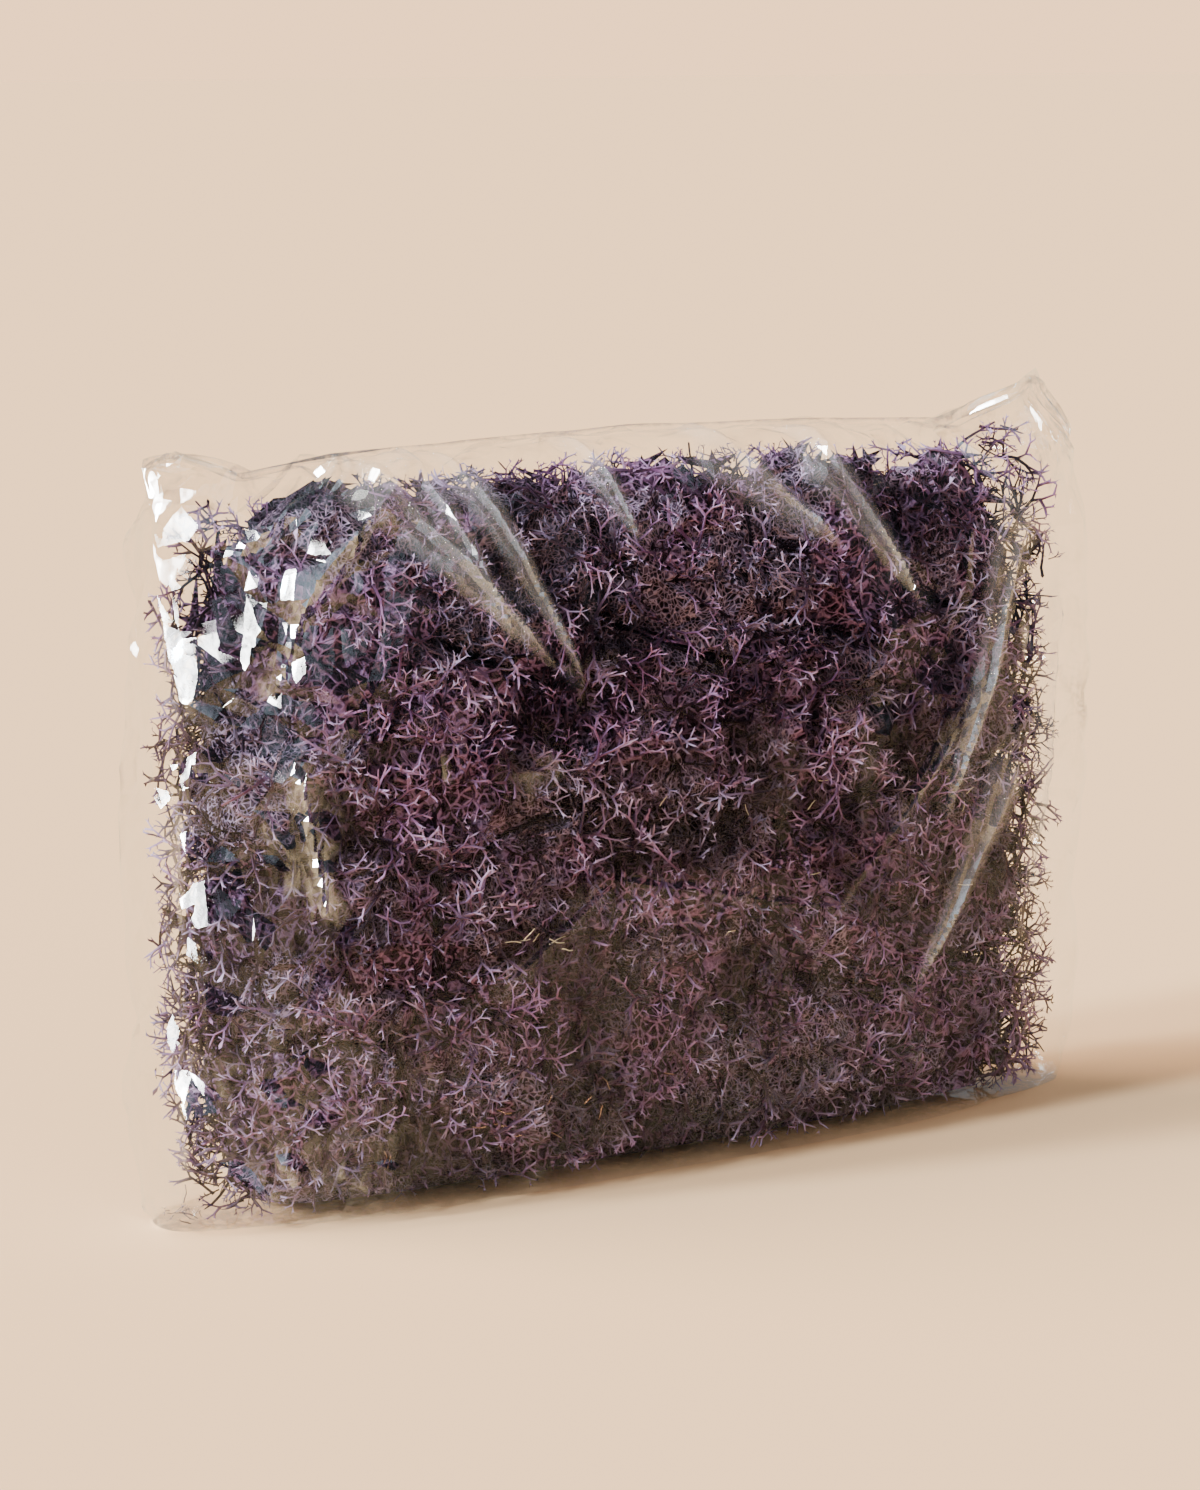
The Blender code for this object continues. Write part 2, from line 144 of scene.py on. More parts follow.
def applyModifier(piece, kind, settings):
    makeActive(piece)
    modifier = piece.modifiers.new(kind.lower(), kind)
    for key, value in settings.items():
        setattr(modifier, key, value)
    bpy.ops.object.modifier_apply(modifier=modifier.name)


# Shader maths

class Wire:
    # wraps a shader socket, so that sums are written as sums
    def __init__(self, maker, socket):
        self.maker = maker
        self.socket = socket

    def math(self, kind, first, second):
        return self.maker.node("Math", {"operation": kind}, {0: first, 1: second})

    def __add__(self, other):
        return self.math("ADD", self, other)

    def __radd__(self, other):
        return self.math("ADD", other, self)

    def __rsub__(self, other):
        return self.math("SUBTRACT", other, self)

    def __mul__(self, other):
        return self.math("MULTIPLY", self, other)

    def __pow__(self, other):
        return self.math("POWER", self, other)


class Finish:
    # one material, or the world, with its nodes made by one method
    def __init__(self, name, store=bpy.data.materials):
        self.material = store.new(name)
        self.material.use_nodes = True
        self.tree = self.material.node_tree
        self.tree.nodes.clear()

    def node(self, kind, settings, inputs, output=0):
        made = self.tree.nodes.new("ShaderNode" + kind)
        for key, value in settings.items():
            if key == "stops":
                ramp = made.color_ramp
                while len(ramp.elements) < len(value):
                    ramp.elements.new(0.5)
                for element, (place, colour) in zip(ramp.elements, value):
                    element.position = place
                    element.color = (*colour, 1.0)
            else:
                setattr(made, key, value)
        for key, value in inputs.items():
            if isinstance(value, Wire):
                self.tree.links.new(value.socket, made.inputs[key])
            else:
                made.inputs[key].default_value = value
        return Wire(self, made.outputs[output]) if made.outputs else None

    def number(self, name):
        return self.node("Attribute", {"attribute_name": name}, {}, "Fac")

    def place(self):
        return self.node("TexCoord", {}, {}, "Object")

    def ramp(self, value, stops):
        return self.node("ValToRGB", {"stops": stops}, {"Fac": value}, "Color")

    def blend(self, amount, first, second):
        settings = {"data_type": "RGBA"}
        return self.node("Mix", settings, {0: amount, 6: first, 7: second}, 2)

    def smooth(self, value, low, high):
        settings = {"interpolation_type": "SMOOTHSTEP"}
        span = {"Value": value, "From Min": low, "From Max": high}
        return self.node("MapRange", settings, span)

    def bump(self, height, strength, distance):
        values = {"Strength": strength, "Distance": distance, "Height": height}
        return self.node("Bump", {}, values)

    def shader(self, values):
        return self.node("BsdfPrincipled", {}, values)

    def finish(self, shader):
        self.node("OutputMaterial", {}, {"Surface": shader})
        return self.material

    def matte(self, tint, more={}):
        values = {"Base Color": tint, "Roughness": 0.9, "Specular IOR Level": 0.0}
        return self.finish(self.shader({**values, **more}))


# Camera

cameraLook = {
    "place": (-0.780, -1.225, 0.412),
    "aim": (-0.005, 0.008, 0.152),
    "sensor": 36.0,
    "lens": 96.64,
}


def placeObject(data, place, way):
    # an object that looks along a way from its place
    made = bpy.data.objects.new(data.name, data)
    linkObject(made)
    made.matrix_world = Matrix.LocRotScale(place, way.to_track_quat("-Z", "Y"), None)
    return made


def makeCamera(look):
    data = bpy.data.cameras.new("camera")
    data.sensor_fit = "VERTICAL"
    data.sensor_height = look["sensor"]
    data.lens = look["lens"]
    place = Vector(look["place"])
    bpy.context.scene.camera = placeObject(data, place, Vector(look["aim"]) - place)


# Floor and lights

stageLook = {
    "floorSize": 60.0,
    "floorDrop": 0.0002,
    "floorTint": (0.93, 0.565, 0.302, 1.0),
    "airTint": (0.93, 0.92, 0.92, 1.0),
    "airPower": 0.27,
    "backTint": (2.50, 1.51, 0.81, 1.0),
    "paneTint": (1.0, 0.86, 0.76, 1.0),
    "paneBlur": 0.92,
    "panes": (  # the way that each mirrored window lies, its half width and height, and its power
        ((-0.90, 0.10, 0.42), 0.66, 0.50, 140.0),
        ((-0.74, -0.46, 0.50), 0.16, 0.26, 30.0),
    ),
}
lampLook = {  # the way that each light comes from, its spread in degrees, power and tint
    "window_near": ((-0.90, -0.07, 0.42), 6.0, 5.6, (0.78, 0.91, 1.0)),
    "window_far": ((-0.90, 0.15, 0.42), 7.0, 5.6, (0.78, 0.91, 1.0)),
    "window_glow": ((-0.70, 0.42, 0.70), 45.0, 4.6, (1.0, 0.86, 0.70)),
    "front_fill": ((-0.35, -0.90, 0.80), 60.0, 1.2, (0.90, 0.94, 1.0)),
}


def makeFloor(look):
    deselectAll()
    bpy.ops.mesh.primitive_plane_add(size=look["floorSize"], location=(0, 0, -look["floorDrop"]))
    bpy.ops.object.transform_apply(location=True, rotation=False, scale=False)
    floor = bpy.context.object
    floor.name = "floor"
    floor.data.materials.append(Finish("pale_floor").matte(look["floorTint"]))


class Air(Finish):
    def dot(self, way, axis):
        return self.node("VectorMath", {"operation": "DOT_PRODUCT"}, {0: way, 1: axis}, 1)

    def band(self, way, axis, half, blur):
        # 1 where a direction lies within half of an axis, on both of its sides
        size = self.node("Math", {"operation": "ABSOLUTE"}, {0: self.dot(way, axis)})
        return 1.0 - self.smooth(size, half * blur, half)


def makeAir(look):
    # soft light from all round, with a bright window that only the film's reflections show;
    # the camera sees it in the far floor's colour
    air = Air("studio", bpy.data.worlds)
    way = air.node("TexCoord", {}, {}, "Generated")
    mirrored = air.node("LightPath", {}, {}, "Is Glossy Ray")
    glow = 0.0
    for where, halfWide, halfTall, power in look["panes"]:
        toPane = Vector(where).normalized()
        across = toPane.cross(up).normalized()
        facing = air.dot(way, toPane)
        wide = air.band(way, across, halfWide, look["paneBlur"])
        tall = air.band(way, across.cross(toPane), halfTall, look["paneBlur"])
        glow = glow + wide * tall * air.smooth(facing, 0.0, 0.1) * mirrored * power
    values = {"Color": look["airTint"], "Strength": look["airPower"]}
    soft = air.node("Background", {}, values)
    values = {"Color": look["paneTint"], "Strength": glow}
    bright = air.node("Background", {}, values)
    both = air.node("AddShader", {}, {0: soft, 1: bright})
    far = air.node("Background", {}, {"Color": look["backTint"]})
    seen = air.node("LightPath", {}, {}, "Is Camera Ray")
    mixed = air.node("MixShader", {}, {0: seen, 1: both, 2: far})
    air.node("OutputWorld", {}, {"Surface": mixed})
    bpy.context.scene.world = air.material


def makeLamp(name, source, spread, power, tint):
    data = bpy.data.lights.new(name, "SUN")
    data.angle = math.radians(spread)
    data.energy = power
    data.color = tint
    place = Vector(source) * 2.0
    placeObject(data, place, -place)


makeCamera(cameraLook)
makeFloor(stageLook)
makeAir(stageLook)
for name, lamp in lampLook.items():
    makeLamp(name, *lamp)
print("camera, floor and lamps are set")


# Clear film bag

filmLook = {
    "mossWidth": 0.372,
    "mossDepth": 0.105,
    "slack": 0.0035,
    "height": 0.27,
    "power": 3.0,  # how square the bag is, seen from above
    "ring": (0.19, 0.05),  # half width and depth that the columns are spaced along
    "profile": (  # share of the height, of the width and of the depth
        (0.0, 0.89, 0.62), (0.025, 0.945, 0.79), (0.075, 0.975, 0.89), (0.17, 0.992, 0.95),
        (0.40, 1.0, 1.0), (0.60, 1.0, 0.99), (0.76, 0.988, 0.91), (0.88, 0.96, 0.77),
        (0.96, 0.89, 0.56), (1.0, 0.80, 0.36),
    ),
    "finHeight": 0.003,
    "finHalf": 0.0008,
    "eave": 0.003,
    "seamLeft": 0.193,
    "seamRight": 0.203,
    "seamStart": 0.88,
    "seamCurve": 1.6,
    "topEdge": (  # the upper edge along x and z
        (-0.198, 0.254), (-0.192, 0.269), (-0.179, 0.271), (-0.156, 0.262), (-0.12, 0.267),
        (0.0, 0.271), (0.09, 0.269), (0.15, 0.266), (0.17, 0.275), (0.19, 0.284), (0.203, 0.262),
    ),
    "earThin": 0.65,
    "earHeights": (0.225, 0.262),
    "earWidths": (0.160, 0.186),
    "columns": 290,
    "rows": 190,
    "keep": 0.125,
    "creaseAngle": 4.5,
    "creaseWidth": 0.00035,
    "inward": 0.0022,
    "outward": 0.007,
    "sheets": (  # spacing of the folds, their height, stretch and turn
        (0.040, 0.0012, 1.7, 65.0),
        (0.0145, 0.0036, 1.9, 78.0),
        (0.0075, 0.0012, 1.5, -50.0),
    ),
    "lift": 0.002,
    "flapSheet": (0.014, 0.0065, 1.5, 70.0),
    "flapHeights": (0.220, 0.250),
    "flapWidths": (0.130, 0.160),
    "seamShare": 0.3,  # how far the seams sway, against the ears
    "calm": 0.14,
    "crumples": (  # centre and reach along x and z, strength on the front and on the back
        (-0.193, 0.14, 0.044, 0.16, 1.0, 0.9),
        (-0.160, 0.240, 0.058, 0.045, 1.0, 0.8),
        (-0.170, 0.020, 0.045, 0.035, 0.9, 0.8),
        (0.190, 0.16, 0.044, 0.16, 0.75, 0.8),
        (0.178, 0.260, 0.045, 0.035, 0.9, 0.9),
        (0.0, 0.264, 0.200, 0.016, 0.55, 0.55),
        (0.10, 0.20, 0.035, 0.05, 0.25, 0.3),
        (0.0, 0.03, 0.20, 0.02, 0.12, 0.3),
        (0.02, 0.12, 0.12, 0.09, 0.0, 0.3),
    ),
    "pleats": (  # ends along x and z, half width, height and mirrored share, on the front
        (-0.126, 0.274, -0.062, 0.196, 0.017, 0.0034, 0.085),
        (-0.100, 0.270, -0.076, 0.204, 0.011, 0.0022, 0.060),
        (-0.084, 0.268, -0.050, 0.190, 0.010, 0.0018, 0.050),
        (-0.030, 0.270, -0.020, 0.235, 0.012, 0.002, 0.045),
        (0.018, 0.270, 0.066, 0.228, 0.017, 0.0032, 0.085),
        (0.064, 0.268, 0.100, 0.206, 0.015, 0.0032, 0.090),
        (0.160, 0.236, 0.110, 0.124, 0.0165, 0.0036, 0.085),
        (0.148, 0.140, 0.098, 0.060, 0.015, 0.003, 0.080),
        (0.174, 0.204, 0.156, 0.085, 0.011, 0.003, 0.060),
        (-0.086, 0.080, -0.036, 0.118, 0.009, 0.0008, 0.03),
        (-0.038, 0.116, 0.064, 0.093, 0.009, 0.0007, 0.02),
        (0.140, 0.182, 0.056, 0.090, 0.0095, 0.0012, 0.04),
        (-0.172, 0.236, -0.112, 0.268, 0.010, 0.0045, 0.10),
        (-0.156, 0.220, -0.118, 0.250, 0.009, 0.004, 0.10),
        (-0.146, 0.232, -0.163, 0.190, 0.009, 0.004, 0.10),
        (-0.158, 0.166, -0.148, 0.112, 0.0085, 0.0036, 0.12),
    ),
    "dullPleats": 9,
    "patches": (  # ends along x and z, half width and mirrored share of flat grey pieces of film
        (0.074, 0.236, 0.089, 0.186, 0.0075, 0.045),
        (0.078, 0.172, 0.070, 0.120, 0.0085, 0.028),
        (-0.052, 0.246, -0.044, 0.206, 0.0085, 0.040),
        (0.132, 0.196, 0.122, 0.150, 0.011, 0.026),
        (-0.060, 0.100, -0.014, 0.118, 0.012, 0.030),
        (0.036, 0.160, 0.028, 0.118, 0.008, 0.022),
    ),
    "vents": (-0.070, 0.0, 0.070),
    "ventHeight": 0.205,
    "ventRadius": 0.003,
    "brink": (  # the upper edge of the scuffed film along x and z
        (-0.20, 0.06), (-0.078, 0.088), (-0.038, 0.113), (0.026, 0.112), (0.071, 0.10),
        (0.13, 0.172), (0.20, 0.19),
    ),
    "middle": 0.005,
    "clear": 0.008,  # mirrored share of smooth film, then what each fault adds
    "scuffed": 0.017,
    "crumpled": 0.028,
    "earShine": 0.055,
    "shineHeights": (0.236, 0.256),
    "shineWidths": (0.160, 0.176),
    "creased": 0.35,
    "wrinkleScale": 230.0,
    "wrinkleStretch": (1.0, 1.0, 0.35),
    "wrinkleSpan": (0.38, 0.54),
    "wrinkleShare": 0.55,
    "rimPower": 4.0,
    "rimShare": 0.28,
    "glossTint": (0.74, 0.88, 1.0, 1.0),
    "glossRoughness": 0.07,
    "dullTint": (0.78, 0.74, 0.70, 1.0),
    "dullRoughness": 0.6,
    "dullShare": 0.14,
    "seed": 11,
}


def filmLevels(look, count):
    # share, half width, half depth and drop of each level, evenly spaced up a middle section
    slack, roof = look["slack"], look["finHeight"] + look["eave"]
    levels = [
        (share, wide * look["mossWidth"] / 2 + slack, deep * look["mossDepth"] / 2 + slack, roof)
        for share, wide, deep in look["profile"]
    ]
    levels.append((1.0, levels[-1][1], look["finHalf"] * 1.4, look["finHeight"]))
    levels.append((1.0, levels[-1][1], look["finHalf"], 0.0))
    levels = np.array(levels)
    climb = levels[:, 0] * look["height"] - levels[:, 3]
    path = pathLengths(np.diff(levels[:, 2]), np.diff(climb))
    fine = np.linspace(0.0, path[-1], 601)
    reach = 15  # how many fine steps the corners are rounded over, each way
    kernel = np.hanning(2 * reach + 1)
    kernel /= kernel.sum()
    table = []
    for column in range(4):
        line = np.interp(fine, path, levels[:, column])
        before = 2 * line[0] - line[reach:0:-1]
        after = 2 * line[-1] - line[-2:-reach - 2:-1]
        table.append(np.convolve(np.concatenate((before, line, after)), kernel, mode="valid"))
    return np.array([np.interp(count * path[-1], fine, line) for line in table]), path[-1]


def filmPlaces(look, u, v, side):
    # the smooth bag: u runs from the left seam to the right one, v from the foot to the fin
    (share, halfWide, halfDeep, drop), tall = filmLevels(look, v)
    angles = np.linspace(math.pi, 0.0, 1441)
    bend = 2.0 / look["power"]
    ringX = np.sign(np.cos(angles)) * np.abs(np.cos(angles)) ** bend * look["ring"][0]
    ringY = np.abs(np.sin(angles)) ** bend * look["ring"][1]
    path = pathLengths(np.diff(ringX), np.diff(ringY))
    angle = np.interp(u * path[-1], path, angles)
    cosine, sine = np.cos(angle), np.abs(np.sin(angle))
    x = np.sign(cosine) * np.abs(cosine) ** bend * halfWide
    pull = np.clip((np.abs(cosine) - look["seamStart"]) / (1 - look["seamStart"]), 0, 1)
    seam = np.where(cosine > 0, look["seamRight"], -look["seamLeft"])
    x += (seam - x) * pull ** look["seamCurve"]
    z = (np.interp(x, *zip(*look["topEdge"])) - drop) * share
    ear = ease(z, *look["earHeights"]) * ease(np.abs(x), *look["earWidths"])
    y = side * sine ** bend * halfDeep * (1.0 - look["earThin"] * ear)
    return np.stack((x, y, np.maximum(z, 0.0)), axis=1), path[-1], tall


def foldSheet(places, spacing, stretch, turn, random):
    # heights of a crumpled sheet: scattered points at random heights, joined by flat facets
    angle = math.radians(turn)
    along = (places @ np.array((math.cos(angle), math.sin(angle)))) / stretch
    across = places @ np.array((-math.sin(angle), math.cos(angle)))
    spots = np.stack((along, across), axis=1) / spacing
    low, high = spots.min(axis=0) - 2.0, spots.max(axis=0) + 2.0
    columns, rows = np.ceil(high - low).astype(int)
    grid = np.stack(np.meshgrid(np.arange(columns), np.arange(rows), indexing="ij"), axis=-1)
    points = low + grid.reshape(-1, 2) + random.uniform(0.0, 0.85, (columns * rows, 2))
    flat, _, faces, _, _, _ = geometry.delaunay_2d_cdt([Vector(p) for p in points], [], [], 0, 1e-6)
    heights = random.uniform(0.5, 1.0, len(flat)) * random.choice((-1.0, 1.0), len(flat))
    tree = BVHTree.FromPolygons([(*p, h) for p, h in zip(flat, heights)], faces)
    hits = [tree.ray_cast(Vector((a, b, 5.0)), -up)[0] for a, b in spots]
    return np.array([hit.z if hit is not None else 0.0 for hit in hits])


def gridNormals(places, rows, columns):
    net = places.reshape(rows, columns, 3)
    normal = np.cross(np.gradient(net, axis=1), np.gradient(net, axis=0)).reshape(-1, 3)
    return normal / (norm(normal, axis=1)[:, None] + 1e-12)


def crumpleStrength(look, places, front):
    strength = np.full(len(places), look["calm"])
    for x, z, reachX, reachZ, onFront, onBack in look["crumples"]:
        far = ((places[:, 0] - x) / reachX) ** 2 + ((places[:, 2] - z) / reachZ) ** 2
        strength += (onFront if front else onBack) * np.exp(-far)
    return np.minimum(strength, 1.15)


def pleatShares(places, pleat, flat=False):
    # 0 to 1 over a pleat that narrows to its far end, with a gentle side, a sharp crest and a
    # steep side; or, flat, the same 1 all over it
    start, end = np.array(pleat[0:2]), np.array(pleat[2:4])
    way = end - start
    offset = places[:, (0, 2)] - start
    along = offset @ way / (way @ way)
    narrow = pleat[4] * np.clip(1.15 - along, 0.15, 1.0)
    across = (offset @ np.array((-way[1], way[0]))) / norm(way) / narrow
    fade = ease(along, -0.05, 0.10) * ease(along, 1.05, 0.8)
    if flat:
        return ease(1.0 - np.abs(across), 0.0, 0.12) * fade
    crest = np.where(across < 0, 1.0 + across, 1.0 - across * 1.8)
    ripple = 0.8 + 0.2 * np.cos(across * 11.0)
    return np.clip(crest, 0.0, 1.0) * ripple * fade


def makeFilmSide(look, front, random):
    deselectAll()
    bpy.ops.mesh.primitive_grid_add(
        x_subdivisions=look["columns"], y_subdivisions=look["rows"], size=1,
    )
    sheet = bpy.context.object
    flat = getPlaces(sheet.data)
    u, v = flat[:, 0] + 0.5, flat[:, 1] + 0.5
    if not front:
        u = 1.0 - u
    smooth, wide, tall = filmPlaces(look, u, v, -1 if front else 1)
    columns, rows = look["columns"] + 1, look["rows"] + 1
    normal = gridNormals(smooth, rows, columns)
    unrolled = np.stack((u * wide, v * tall), axis=1)
    strength = crumpleStrength(look, smooth, front)
    height = np.zeros(len(flat))
    for spacing, rise, stretch, turn in look["sheets"]:
        height += rise * foldSheet(unrolled, spacing, stretch, turn if front else -turn, random)
    height = (height + look["lift"]) * strength
    if front:
        for pleat in look["pleats"]:
            height += pleatShares(smooth, pleat) * pleat[5]
    edge = np.minimum(np.minimum(u, 1.0 - u) * wide, (1.0 - v) * tall)
    height *= ease(edge, 0.0, 0.014) * ease(v * tall, 0.0, 0.010)
    height = np.clip(height, -look["inward"], look["outward"])
    return sheet, smooth, normal, height, edge


def bendFlaps(look, places, edge, random):
    # the two layers of a seam or an ear lie together and crumple together
    spacing, rise, stretch, turn = look["flapSheet"]
    sway = foldSheet(places[:, (0, 2)], spacing, stretch, turn, random) * rise
    ear = ease(places[:, 2], *look["flapHeights"])
    ear = ear * ease(np.abs(places[:, 0]), *look["flapWidths"])
    seam = look["seamShare"] * (1.0 - ease(edge, 0.004, 0.030))
    loose = np.maximum(seam, ear * (1.0 - ease(edge, 0.02, 0.05)))
    loose *= ease(places[:, 2], 0.0, 0.02)
    places[:, 1] += sway * loose
    return places


def punchVents(look, film):
    # three small round holes in the back
    makeActive(film)
    setMode("EDIT")
    shape = bmesh.from_edit_mesh(film.data)
    for face in shape.faces:
        place = face.calc_center_median()
        offsets = [(place.x - vent, place.z - look["ventHeight"]) for vent in look["vents"]]
        near = min(math.hypot(*offset) for offset in offsets)
        face.select_set(place.y > 0 and near < look["ventRadius"])
    bmesh.update_edit_mesh(film.data)
    bpy.ops.mesh.delete(type="FACE")
    setMode("OBJECT")
    places = getPlaces(film.data)
    for vent in look["vents"]:
        offset = places[:, (0, 2)] - np.array((vent, look["ventHeight"]))
        far = np.hypot(*offset.T)
        rim = (places[:, 1] > 0) & (far < look["ventRadius"] * 1.35)
        places[np.ix_(rim, (0, 2))] += offset[rim] * (look["ventRadius"] / far[rim] - 1.0)[:, None]
    setPlaces(film.data, places)


def makeFilm(look):
    random = np.random.default_rng(look["seed"])
    halves = []
    for front in (True, False):
        sheet, smooth, normal, height, edge = makeFilmSide(look, front, random)
        places = smooth + normal * height[:, None]
        places = bendFlaps(look, places, edge, np.random.default_rng(look["seed"] + 1))
        places[:, 0] = np.clip(places[:, 0], -look["seamLeft"], look["seamRight"])
        places[:, 2] = np.maximum(places[:, 2], 0.0)
        setPlaces(sheet.data, places)
        halves.append(sheet)
    makeActive(halves[0])
    halves[1].select_set(True)
    bpy.ops.object.join()
    film = bpy.context.object
    film.name = "clear_film_bag"
    setMode("EDIT")
    bpy.ops.mesh.select_all(action="SELECT")
    bpy.ops.mesh.remove_doubles(threshold=weldGap)
    bpy.ops.mesh.select_all(action="DESELECT")
    bpy.ops.mesh.select_mode(type="EDGE")
    bpy.ops.mesh.select_non_manifold()
    bpy.ops.mesh.edge_face_add()
    setMode("OBJECT")
    punchVents(look, film)
    applyModifier(film, "DECIMATE", {"ratio": look["keep"]})
    bpy.ops.object.shade_smooth()
    applyModifier(film, "BEVEL", {
        "width": look["creaseWidth"], "segments": 1, "limit_method": "ANGLE",
        "angle_limit": math.radians(look["creaseAngle"]), "harden_normals": True,
    })
    return film


def filmHaze(look, film, veil):
    # how much of the light the film mirrors: little where it is smooth, more where it is
    # crumpled, creased, folded double, or scuffed low on the front
    places = getPlaces(film.data)
    x, y, z = places.T
    front = ease(-y, -0.01, 0.02)
    brink = np.interp(x, *zip(*look["brink"]))
    haze = look["clear"] + look["scuffed"] * front * ease(brink - z, -0.003, 0.004)
    for pleat in look["pleats"]:
        haze += pleatShares(places, pleat) ** 0.7 * pleat[6] * front
    for patch in look["patches"]:
        haze = np.maximum(haze, pleatShares(places, patch, True) * patch[5] * front)
    crumpled = crumpleStrength(look, places, True)
    ears = ease(z, *look["shineHeights"]) * ease(np.abs(x - look["middle"]), *look["shineWidths"])
    share = look["crumpled"] + (look["earShine"] - look["crumpled"]) * ears
    haze += share * ease(crumpled, look["calm"] * 1.3, 0.8)
    busy = np.maximum(ease(crumpled, look["calm"], look["calm"] * 1.8), veil) * 0.8 + 0.2
    return haze + look["creased"] * creaseShares(film.data) ** 3.0 * (1.0 - 0.7 * veil) * busy


def filmVeil(look, film):
    # how dull the film's shine is: 1 where it is folded double on the front
    places = getPlaces(film.data)
    front = ease(-places[:, 1], -0.01, 0.02)
    shares = [pleatShares(places, pleat) ** 0.5 for pleat in look["pleats"][:look["dullPleats"]]]
    return front * np.max(shares, axis=0)


def makeFilmFinish(look):
    # see-through film that mirrors a little, in streaks and at its rims, dull where it is folded
    film = Finish("clear_film")
    facing = film.node("LayerWeight", {}, {"Blend": 0.5}, "Facing")
    values = {0: film.place(), 1: look["wrinkleStretch"]}
    drawn = film.node("VectorMath", {"operation": "MULTIPLY"}, values)
    values = {"Vector": drawn, "Scale": look["wrinkleScale"], "Detail": 2.0, "Distortion": 1.0}
    wrinkles = film.node("TexNoise", {}, values, 0)
    streaks = film.smooth(wrinkles, *look["wrinkleSpan"]) * look["wrinkleShare"]
    streaks = streaks + (1.0 - look["wrinkleShare"])
    sheen = film.number("haze") * streaks + facing ** look["rimPower"] * look["rimShare"]
    clear = film.node("BsdfTransparent", {}, {})
    values = {"Base Color": look["glossTint"], "Metallic": 1.0, "Roughness": look["glossRoughness"]}
    gloss = film.shader(values)
    mixed = film.node("MixShader", {}, {0: sheen, 1: clear, 2: gloss})
    values = {"Base Color": look["dullTint"], "Roughness": look["dullRoughness"]}
    dull = film.shader({**values, "Specular IOR Level": 0.1})
    share = film.number("veil") * look["dullShare"]
    return film.finish(film.node("MixShader", {}, {0: share, 1: mixed, 2: dull}))


def creaseShares(mesh):
    # how sharply the film is folded at each vertex, 0 to 1
    shape = bmesh.new()
    shape.from_mesh(mesh)
    shares = np.zeros(len(shape.verts))
    for edge in shape.edges:
        bend = edge.calc_face_angle(0.0)
        for vertex in edge.verts:
            shares[vertex.index] = max(shares[vertex.index], min(bend / 0.5, 1.0))
    shape.free()
    return shares


film = makeFilm(filmLook)
veil = filmVeil(filmLook, film)
setNumber(film.data, "veil", veil)
setNumber(film.data, "haze", filmHaze(filmLook, film, veil))
film.data.materials.clear()
film.data.materials.append(makeFilmFinish(filmLook))
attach(film, "root")
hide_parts("film_bag")
print("film bag has", countTriangles(film.data), "triangles")


# Moss

mossLook = {
    "seed": 77,
    "variants": 8,
    "stemRadius": 0.00038,
    "reach": ((0.0024, 0.0036), (0.002, 0.0032), (0.0016, 0.0026), (0.001, 0.0018)),
    "stray": 0.22,
    "knuckle": (0.0006, 0.0006, 0.0006, 0.0006),
    "taper": 0.88,
    "fork": 1.3,
    "sway": 0.45,
    "patchArea": 6e-6,  # of a tuft's surface for each place tried
    "headGap": 0.015,
    "backGap": 0.019,
    "headSize": (0.0085, 0.0135),
    "swell": (0.85, 1.2),
    "upright": 0.65,  # share of heads that lean only a little
    "littleLean": (0.0, 0.5),
    "muchLean": (0.8, 1.5),
    "headFans": 5,
    "backFans": 2,
    "fanRise": (0.10, 0.65),
    "fanDepth": 0.0055,
    "headSprigs": 4,
    "backSprigs": 4,
    "sunken": 0.42,
    "longSprigs": (  # root and tip of the branches that stick out
        ((0.078, -0.010, 0.236), (0.069, -0.001, 0.2625)),
        ((0.166, -0.004, 0.222), (0.1925, 0.0, 0.203)),
        ((0.170, 0.004, 0.188), (0.1945, 0.001, 0.181)),
        ((-0.160, -0.006, 0.228), (-0.1835, -0.001, 0.235)),
    ),
    "sprigLength": 0.0085,
    "branchLength": 0.0255,
    "branchEvery": 8,
    "headCone": 74.0,
    "sprigSize": 0.84,
    "filmGap": 0.003,
    "slack": 0.004,  # how far a copy may stand out of the film and still be pressed in
    "rise": 0.013,
    "topRise": 0.9,
    "topLift": 0.0075,
    "backPress": 0.68,
    "deepest": 0.036,
    # painted shade: the depth under the film where the moss starts to be painted darker, the depth
    # where it is darkest, and how much darker it is painted low in the pack
    "shadeFrom": 0.004,
    "shadeBy": 0.016,
    "lowShade": 0.20,
    "coreInset": 0.0002,
}
fanLook = {  # longer sprigs, thick at the root and forked five times
    "variants": 12,
    "stemRadius": 0.00066,
    "reach": (
        (0.0042, 0.006), (0.0036, 0.005), (0.0028, 0.004), (0.002, 0.003), (0.0011, 0.002),
    ),
    "stray": 0.20,
    "knuckle": (0.0009, 0.0008, 0.0006, 0.0005, 0.0005),
    "taper": 0.88,
    "fork": 1.05,
    "sway": 0.40,
}
stemLook = {"variants": 3, "radius": 0.00075, "steps": 4, "sway": 0.32, "reach": 0.0045,
            "taper": 0.90}
branchLook = {"variants": 4, "radius": 0.00080, "steps": 5, "swing": 0.35, "sway": 0.10,
              "reach": (0.0035, 0.005), "taper": 0.93, "knuckle": 0.0009, "knuckleTaper": 0.95,
              "fork": 1.3}


class MossFinish(Finish):
    def patches(self, where):
        # three broad patterns that tufts share: greyed, wine-dark and shaded places
        settings = {"Vector": where, "Scale": 26.0, "Detail": 1.0}
        cloud = self.node("TexNoise", {}, settings, "Color")
        red, green, blue = [
            self.node("SeparateColor", {}, {"Color": cloud}, part)
            for part in ("Red", "Green", "Blue")
        ]
        return (self.smooth(red, 0.46, 0.58), self.smooth(green, 0.53, 0.63),
                self.smooth(blue, 0.51, 0.40))


